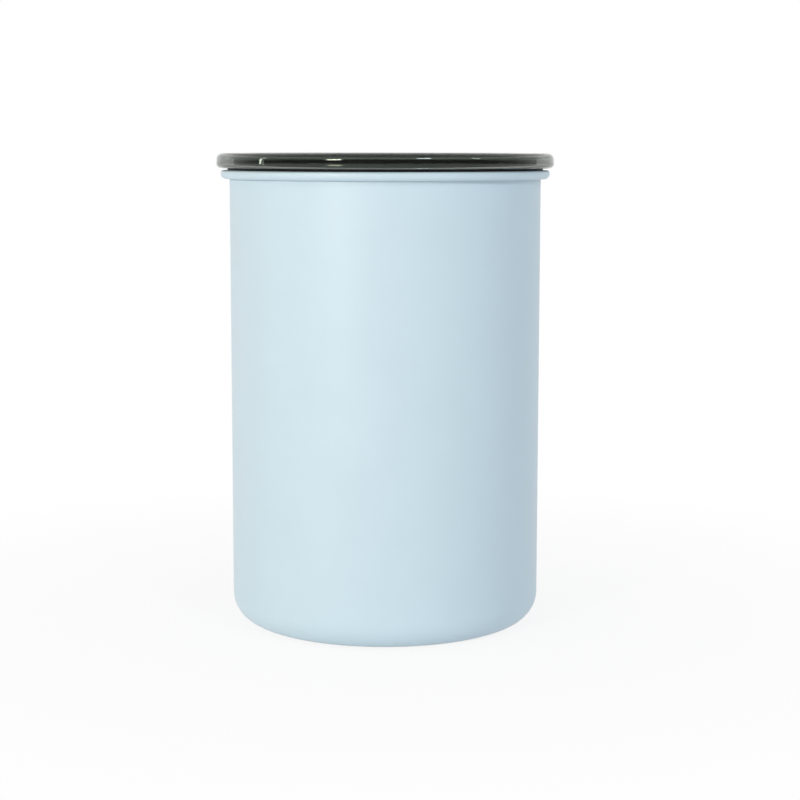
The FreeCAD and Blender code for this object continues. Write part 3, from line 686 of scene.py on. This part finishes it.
class CANISTER_OT_body(Operator):
    """Make the coated steel canister with its rolled rim"""

    bl_idname = "canister.body"
    bl_label = "Canister Body"

    def execute(self, context):
        sizes = context.scene.canister_sizes
        outside, inside = self.stretches(sizes)
        shell = turned_piece(
            "canister_shell",
            [(outside, 0), (inside, 1)],
            finish_named("powder_coat"),
            finish_named("drawn_steel"),
        )
        settle(shell, "canister", "canister_body")
        return {"FINISHED"}

    @staticmethod
    def stretches(sizes):
        """The coated outline from the base's middle to the rim's top, and the bare one back down."""
        wall = sizes.wall
        bore = sizes.body_radius - wall
        bend = sizes.curl_bend
        tail = sizes.curl_tail
        curl_outer = bore + sizes.curl_width
        curl_bottom = RIM_TOP - sizes.curl_height
        lip = sizes.body_radius + sizes.curl_lip_gap
        lip_round = wall / 3
        foot_outer = sizes.body_radius - sizes.corner_radius
        foot_inner = foot_outer - sizes.foot_ring_width
        step_inner = foot_inner - sizes.base_step_run
        recess = sizes.base_recess
        rim_middle = curl_outer - sizes.curl_width / 2
        outside = rounded(
            [
                (0.0, recess, 0.0),
                (step_inner, recess, sizes.base_step_radius),
                (foot_inner, 0.0, sizes.base_step_radius),
                (sizes.body_radius, 0.0, sizes.corner_radius),
                (sizes.body_radius, RIM_TOP - wall, bend - wall),
                (curl_outer - wall, RIM_TOP - wall, bend - wall),
                (curl_outer - wall, curl_bottom + wall, tail - wall),
                (lip, curl_bottom + wall, lip_round),
                (lip, curl_bottom, lip_round),
                (curl_outer, curl_bottom, tail),
                (curl_outer, RIM_TOP, bend),
                (rim_middle, RIM_TOP, 0.0),
            ],
            closed=False,
        )
        inside = rounded(
            [
                (rim_middle, RIM_TOP, 0.0),
                (bore, RIM_TOP, bend),
                (bore, wall, sizes.corner_radius - wall),
                (foot_inner, wall, sizes.base_step_radius),
                (step_inner, recess + wall, sizes.base_step_radius),
                (0.0, recess + wall, 0.0),
            ],
            closed=False,
        )[1:]
        return outside, inside


class CANISTER_OT_outer_lid(Operator):
    """Make the smoked lid and its black gasket"""

    bl_idname = "canister.outer_lid"
    bl_label = "Outer Lid"

    def execute(self, context):
        sizes = context.scene.outer_lid_sizes
        self.lid(sizes)
        self.gasket(sizes)
        return {"FINISHED"}

    @staticmethod
    def lid(sizes):
        """Plate with a stacking recess above and, below, a skirt, a channel and a plug."""
        seat = LID_TOP - sizes.edge_height
        recess_radius = sizes.radius - sizes.ring_width
        deck_top = LID_TOP - sizes.recess_depth
        deck_bottom = deck_top - sizes.deck
        channel_top = LID_TOP - sizes.plate
        plug_inner = sizes.plug_radius - sizes.plug_wall
        edge = sizes.edge_break
        outline = rounded(
            [
                (0.0, deck_bottom, 0.0),
                (plug_inner, deck_bottom, edge),
                (plug_inner, LID_PLUG_BOTTOM, edge),
                (sizes.plug_radius, LID_PLUG_BOTTOM, edge),
                (sizes.plug_radius, channel_top, edge),
                (sizes.radius - sizes.skirt_wall, channel_top, edge),
                (sizes.radius - sizes.skirt_wall, seat, edge / 2),
                (sizes.radius, seat, sizes.bottom_round),
                (sizes.radius, LID_TOP, sizes.top_round),
                (recess_radius, LID_TOP, edge),
                (recess_radius - sizes.recess_slope, deck_top, edge),
                (0.0, deck_top, 0.0),
            ]
        )
        lid = turned_piece("smoked_lid", [(outline, 0)], finish_named("smoked_clear"))
        settle(lid, "outer_lid", "outer_lid")

    @staticmethod
    def gasket(sizes):
        """Soft ring in the channel, with a flap over the rim and a lip round the plug."""
        inner = sizes.plug_radius + HAIR_GAP
        collar = sizes.plug_radius + sizes.gasket_collar
        seat = LID_TOP - sizes.edge_height
        flange = seat - sizes.gasket_flange
        sleeve = sizes.plug_radius + sizes.gasket_sleeve
        lip = sleeve + sizes.gasket_lip
        lip_top = flange - sizes.gasket_lip_drop
        lip_middle = lip_top - sizes.gasket_lip_height / 2
        edge = sizes.edge_break
        outline = rounded(
            [
                (inner, GASKET_TOP, 0.0),
                (collar, GASKET_TOP, edge),
                (collar, seat, edge),
                (sizes.gasket_reach, seat, edge),
                (sizes.gasket_reach, flange, edge),
                (sleeve, flange, edge),
                (sleeve, lip_top, edge),
                (lip, lip_middle, 2 * edge),
                (sleeve, lip_top - sizes.gasket_lip_height, edge),
                (sleeve, GASKET_BOTTOM, edge),
                (inner, GASKET_BOTTOM, 0.0),
            ]
        )
        gasket = turned_piece("lid_gasket", [(outline, 0)], finish_named("gasket_rubber"))
        settle(gasket, "outer_lid", "outer_lid_gasket")


class CANISTER_OT_inner_lid(Operator):
    """Make the sliding inner lid with its wiper and vent screen"""

    bl_idname = "canister.inner_lid"
    bl_label = "Inner Lid"

    def execute(self, context):
        sizes = context.scene.inner_lid_sizes
        cup = self.cup(sizes)
        self.add_ribs(cup, sizes)
        for side in (-1, 1):
            self.add_lug(cup, sizes, side)
        clean_joints(cup)
        settle(cup, "plunger", "plunger_cup")
        self.wiper(sizes)
        dress("vent_screen", finish_named("bright_wire"))
        return {"FINISHED"}

    @staticmethod
    def cup(sizes):
        """Cup with the wiper's groove outside, and a boss and a valve seat round the vent."""
        inner = sizes.cup_radius - sizes.cup_wall
        groove = sizes.cup_radius - sizes.groove_depth
        floor = CUP_BASE + sizes.cup_floor
        rim = CUP_BASE + sizes.cup_height
        boss_inner = sizes.boss_radius - sizes.boss_wall
        boss_top = floor + sizes.boss_height
        seat = sizes.vent_radius + sizes.seat_width
        seat_top = floor + sizes.seat_height
        screen_top = CUP_BASE + sizes.screen_depth
        edge = sizes.edge_break
        outline = rounded(
            [
                (sizes.vent_radius, screen_top, 0.0),
                (sizes.screen_seat, screen_top, 0.0),
                (sizes.screen_seat, CUP_BASE, edge / 2),
                (sizes.cup_radius, CUP_BASE, sizes.edge_round),
                (sizes.cup_radius, WIPER_LOW, edge),
                (groove, WIPER_LOW, 0.0),
                (groove, WIPER_HIGH, 0.0),
                (sizes.cup_radius, WIPER_HIGH, edge),
                (sizes.cup_radius, rim, sizes.edge_round),
                (inner, rim, sizes.edge_round),
                (inner, floor, sizes.floor_round),
                (sizes.boss_radius, floor, edge),
                (sizes.boss_radius, boss_top, edge),
                (boss_inner, boss_top, edge),
                (boss_inner, floor, edge),
                (seat, floor, edge),
                (seat, seat_top, edge),
                (sizes.vent_radius, seat_top, edge),
            ]
        )
        return turned_piece("inner_lid_cup", [(outline, 0)], finish_named("moulded_dark"))

    @staticmethod
    def add_ribs(cup, sizes):
        """Low ribs from the boss to the wall, drafted towards their tops."""
        floor = CUP_BASE + sizes.cup_floor
        low = floor - sizes.rib_height / 2
        high = floor + sizes.rib_height
        foot = sizes.rib_foot / 2
        crest = sizes.rib_crest / 2
        section = [(-foot, low), (foot, low), (crest, high), (-crest, high)]
        bm = bmesh.new()
        for index in range(sizes.rib_count):
            turn = Matrix.Rotation(math.tau * index / sizes.rib_count, 3, "Z")
            before = set(bm.verts)
            loft(bm, [(sizes.rib_start, section), (sizes.rib_end, section)])
            fresh = [vertex for vertex in bm.verts if vertex not in before]
            bmesh.ops.rotate(bm, verts=fresh, matrix=turn)
        combine(cup, new_piece("ribs", bm), "UNION")

    @staticmethod
    def add_lug(cup, sizes, side):
        """A post with a round head and softened faces, bored for the axle."""
        half = sizes.lug_width / 2
        edge = sizes.lug_edge
        root = CUP_BASE + sizes.cup_floor / 2
        inner = sizes.lug_inner
        outer = inner + sizes.lug_thickness
        softened = arc_points((edge, edge), edge, math.pi, 1.5 * math.pi)
        places = [(inner + along, half - inset) for along, inset in softened]
        places += [(outer - along, half - inset) for along, inset in reversed(softened)]
        sections = []
        for along, across in places:
            head = arc_points((0.0, AXLE_HEIGHT), across, 0.0, math.pi)
            sections.append((side * along, [(-across, root), (across, root), *head]))
        bm = bmesh.new()
        loft(bm, sections)
        combine(cup, new_piece("lug", bm), "UNION")
        past = sizes.lug_thickness / 2
        bore_on_axle(cup, sizes.axle_bore, side * (inner - past), side * (outer + past))

    @staticmethod
    def wiper(sizes):
        """Soft band with two lips that rise outwards to the bore."""
        band = sizes.cup_radius
        groove = band - sizes.groove_depth
        edge = sizes.edge_break
        corners = [(groove, WIPER_LOW, 0.0), (band, WIPER_LOW, 0.0)]
        for lip in (0, 1):
            root = WIPER_LOW + sizes.wiper_lip_offset + lip * sizes.wiper_lip_spacing
            tip = root + sizes.wiper_lip_rise
            corners += [
                (band, root, edge),
                (sizes.wiper_tip, tip, edge),
                (sizes.wiper_tip, tip + sizes.wiper_lip_tip, edge),
                (band, root + sizes.wiper_lip_root, edge),
            ]
        corners += [(band, WIPER_HIGH, 0.0), (groove, WIPER_HIGH, 0.0)]
        wiper = turned_piece("wiper_band", [(rounded(corners), 0)], finish_named("soft_silicone"))
        settle(wiper, "plunger", "wiper_gasket")


class CANISTER_OT_valve(Operator):
    """Make the vent valve's seal and spring and finish its mouldings"""

    bl_idname = "canister.valve"
    bl_label = "Vent Valve"

    def execute(self, context):
        sizes = context.scene.valve_sizes
        dress("valve_cage", finish_named("moulded_grey"))
        dress("valve_stem", finish_named("moulded_grey"))
        self.seal(sizes)
        spring = self.spring(sizes)
        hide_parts("valve_spring")
        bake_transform(spring)
        return {"FINISHED"}

    @staticmethod
    def seal(sizes):
        """Soft disc with rounded rims."""
        bore = sizes.seal_bore + HAIR_GAP
        outline = rounded(
            [
                (bore, SEAL_LOW, 0.0),
                (sizes.seal_radius, SEAL_LOW, sizes.seal_edge),
                (sizes.seal_radius, SEAL_HIGH, sizes.seal_edge),
                (bore, SEAL_HIGH, 0.0),
            ]
        )
        silicone = finish_named("soft_silicone")
        seal = turned_piece("seal_disc", [(outline, 0)], silicone, turns=SMALL_TURNS)
        settle(seal, "valve", "valve_seal")

    @staticmethod
    def spring(sizes):
        """An open coil of round wire that rises evenly."""
        steps = round(sizes.spring_turns * SPRING_STEPS)
        half = sizes.spring_wire / 2
        climb = SPRING_HIGH - SPRING_LOW - sizes.spring_wire
        sides = [math.tau * side / WIRE_SIDES for side in range(WIRE_SIDES)]
        section = [(half * math.cos(side), half * math.sin(side)) for side in sides]
        rings = []
        for step in range(steps + 1):
            share = step / steps
            around = math.tau * sizes.spring_turns * share
            outward = Vector((math.cos(around), math.sin(around), 0.0))
            centre = outward * sizes.spring_radius
            centre.z = SPRING_LOW + half + climb * share
            rings.append([centre + outward * out + Vector((0.0, 0.0, up)) for out, up in section])
        bm = bmesh.new()
        skin(bm, rings)
        return new_piece("spring_coil", bm, finish_named("bright_wire"))


class CANISTER_OT_handle(Operator):
    """Make the lift handle and finish its axle and cam"""

    bl_idname = "canister.handle"
    bl_label = "Lift Handle"

    def execute(self, context):
        sizes = context.scene.handle_sizes
        bail = self.bail(sizes)
        for side in (-1, 1):
            combine(bail, self.hub(sizes, side), "UNION")
        bore_on_axle(bail, sizes.hub_bore, -2 * sizes.reach, 2 * sizes.reach)
        clean_joints(bail)
        settle(bail, "handle", "lift_handle")
        dress("handle_axle", finish_named("bright_wire"))
        dress("handle_cam", finish_named("moulded_grey"))
        return {"FINISHED"}

    @staticmethod
    def bail(sizes):
        """Half ring with rounded edges, lying towards the front."""
        inner = sizes.reach - sizes.width
        low = AXLE_HEIGHT - sizes.thickness / 2
        high = AXLE_HEIGHT + sizes.thickness / 2
        section = rounded(
            [
                (inner, low, sizes.edge_round),
                (sizes.reach, low, sizes.edge_round),
                (sizes.reach, high, sizes.edge_round),
                (inner, high, sizes.edge_round),
            ]
        )
        bm = bmesh.new()
        made = revolve(bm, [(section, 0)], SMALL_TURNS, math.pi)
        bmesh.ops.rotate(bm, verts=made, matrix=Matrix.Rotation(math.pi, 3, "Z"))
        return new_piece("lift_bail", bm, finish_named("moulded_dark"))

    @staticmethod
    def hub(sizes, side):
        """A short round boss on the axle's line."""
        length_along = sizes.reach - sizes.hub_inner
        outline = rounded(
            [
                (0.0, 0.0, 0.0),
                (sizes.hub_radius, 0.0, sizes.hub_edge),
                (sizes.hub_radius, length_along, sizes.hub_edge),
                (0.0, length_along, 0.0),
            ]
        )
        bm = bmesh.new()
        made = revolve(bm, [(outline, 0)], SMALL_TURNS)
        bmesh.ops.rotate(bm, verts=made, matrix=Matrix.Rotation(side * math.pi / 2, 3, "Y"))
        bmesh.ops.translate(bm, verts=made, vec=(side * sizes.hub_inner, 0.0, AXLE_HEIGHT))
        return new_piece("hub", bm, finish_named("moulded_dark"))


def mirrored(tree, rays):
    """A mask of the rays that gloss and glass show the surroundings by."""
    return worked_out(tree, "MAXIMUM", rays["Is Glossy Ray"], rays["Is Transmission Ray"])


class CANISTER_OT_stage(Operator):
    """Set the pale floor, the soft light and the camera"""

    bl_idname = "canister.stage"
    bl_label = "Stage"

    def execute(self, context):
        stage = context.scene.stage_settings
        self.surroundings(context, stage)
        self.floor(stage)
        self.lamps(context, stage)
        self.camera(context, stage)
        context.scene.view_settings.view_transform = "Standard"
        return {"FINISHED"}

    @staticmethod
    def surroundings(context, stage):
        """White behind and above, dimmer in front and through the lid, and even on matt surfaces."""
        world = bpy.data.worlds.new("surroundings")
        context.scene.world = world
        world.use_nodes = True
        tree = world.node_tree
        tree.nodes.clear()
        rays = add_node(tree, "ShaderNodeLightPath", {}).outputs
        towards = add_node(tree, "ShaderNodeTexCoord", {}).outputs["Generated"]
        inside = add_node(
            tree, "ShaderNodeVectorMath", {0: towards, 1: BRIGHT_SIDE}, operation="DOT_PRODUCT"
        )
        studio = ramp(tree, inside.outputs["Value"], 0.0, BRIGHT_EDGE, stage.dim_side, 1.0)
        rise = add_node(tree, "ShaderNodeSeparateXYZ", {0: towards}).outputs["Z"]
        ceiling = ramp(tree, rise, WALL_END, CEILING_START, 1.0, stage.dim_ceiling)
        overhead = chosen(tree, rays["Is Transmission Ray"], 1.0, ceiling)
        shown = worked_out(tree, "MULTIPLY", studio, overhead)
        strength = chosen(tree, mirrored(tree, rays), stage.ambient, shown)
        strength = worked_out(tree, "MAXIMUM", strength, rays["Is Camera Ray"])
        light = add_node(tree, "ShaderNodeBackground", {"Color": WHITE, "Strength": strength})
        add_node(tree, "ShaderNodeOutputWorld", {"Surface": light.outputs[0]})

    @staticmethod
    def floor(stage):
        """A pale sweep that is almost white, with the canister's soft shadow left in it."""
        bm = bmesh.new()
        reach = stage.floor_reach
        corners = ((-reach, -reach), (reach, -reach), (reach, reach), (-reach, reach))
        bm.faces.new([bm.verts.new((*corner, 0.0)) for corner in corners])
        tree, shader = new_material("pale_floor")
        shader.inputs["Base Color"].default_value = (*stage.floor_colour, 1.0)
        shader.inputs["Roughness"].default_value = stage.floor_roughness
        white = add_node(tree, "ShaderNodeEmission", {"Color": WHITE, "Strength": 1.0}).outputs[0]
        place = add_node(tree, "ShaderNodeTexCoord", {}).outputs["Object"]
        away = add_node(tree, "ShaderNodeVectorMath", {0: place}, operation="LENGTH").outputs["Value"]
        whiteness = ramp(tree, away, stage.shadow_start, stage.shadow_reach, stage.floor_white, 1.0)
        rays = add_node(tree, "ShaderNodeLightPath", {}).outputs
        shown = worked_out(tree, "MAXIMUM", rays["Is Camera Ray"], mirrored(tree, rays))
        share = worked_out(tree, "MULTIPLY", shown, whiteness)
        mix = add_node(tree, "ShaderNodeMixShader", {0: share, 1: shader.outputs[0], 2: white})
        tree.links.new(mix.outputs[0], tree.nodes["Material Output"].inputs["Surface"])
        material = finish_named("pale_floor")
        new_piece("floor", bm, material)

    @staticmethod
    def lamps(context, stage):
        """Soft panels at one distance, which point at the object's middle."""
        middle = Vector((0.0, 0.0, stage.lamp_aim))
        for name, panel in LAMPS.items():
            light = bpy.data.lights.new(name, "AREA")
            light.shape = "RECTANGLE"
            light.size = panel["width"]
            light.size_y = panel["height"]
            light.energy = panel["share"] * (math.pi * stage.lamp_distance) ** 2
            light.color = panel["tint"]
            turn = math.radians(panel["turn"])
            rise = math.radians(panel["rise"])
            level = math.cos(rise)
            outward = Vector((level * math.sin(turn), -level * math.cos(turn), math.sin(rise)))
            lamp = bpy.data.objects.new(name, light)
            lamp.location = middle + outward * stage.lamp_distance
            lamp.rotation_mode = "QUATERNION"
            lamp.rotation_quaternion = (-outward).to_track_quat("-Z", "Y")
            context.scene.collection.objects.link(lamp)

    @staticmethod
    def camera(context, stage):
        """The photograph's view, from a little above and in front."""
        lens = bpy.data.cameras.new("camera")
        lens.lens = stage.lens
        lens.sensor_width = stage.sensor
        camera = bpy.data.objects.new("camera", lens)
        place = Matrix.Translation((stage.camera_shift, -stage.camera_distance, stage.camera_height))
        tilt = Matrix.Rotation(math.pi / 2 - stage.camera_pitch, 4, "X")
        camera.matrix_world = place @ tilt @ Matrix.Rotation(stage.camera_roll, 4, "Z")
        context.scene.collection.objects.link(camera)
        context.scene.camera = camera


class CANISTER_PT_panel(Panel):
    """Lists the operators that build the canister, and what can be set for them"""

    bl_idname = "CANISTER_PT_panel"
    bl_label = "Coffee Canister"
    bl_space_type = "VIEW_3D"
    bl_region_type = "UI"
    bl_category = "Canister"

    def draw(self, context):
        for operator in OPERATORS:
            self.layout.operator(operator.bl_idname)
        for name, group in SETTINGS.items():
            box = self.layout.box()
            box.label(text=group.__doc__)
            for setting in group.__annotations__:
                box.prop(getattr(context.scene, name), setting)


SETTINGS = {
    "canister_sizes": CanisterSizes,
    "outer_lid_sizes": OuterLidSizes,
    "inner_lid_sizes": InnerLidSizes,
    "valve_sizes": ValveSizes,
    "handle_sizes": HandleSizes,
    "finishes": Finishes,
    "stage_settings": StageSettings,
}
OPERATORS = (
    CANISTER_OT_finishes,
    CANISTER_OT_body,
    CANISTER_OT_outer_lid,
    CANISTER_OT_inner_lid,
    CANISTER_OT_valve,
    CANISTER_OT_handle,
    CANISTER_OT_stage,
)


def register():
    """Registers the settings, the operators and the panel."""
    for name, group in SETTINGS.items():
        bpy.utils.register_class(group)
        setattr(bpy.types.Scene, name, PointerProperty(type=group))
    for operator in OPERATORS:
        bpy.utils.register_class(operator)
    bpy.utils.register_class(CANISTER_PT_panel)


def unregister():
    """Takes back what register added."""
    bpy.utils.unregister_class(CANISTER_PT_panel)
    for operator in reversed(OPERATORS):
        bpy.utils.unregister_class(operator)
    for name, group in reversed(SETTINGS.items()):
        delattr(bpy.types.Scene, name)
        bpy.utils.unregister_class(group)


def main():
    """Builds the finishes, the pieces and the stage."""
    register()
    bpy.ops.canister.finishes()
    bpy.ops.canister.body()
    bpy.ops.canister.outer_lid()
    bpy.ops.canister.inner_lid()
    bpy.ops.canister.valve()
    bpy.ops.canister.handle()
    bpy.ops.canister.stage()


if __name__ == "__main__":
    main()
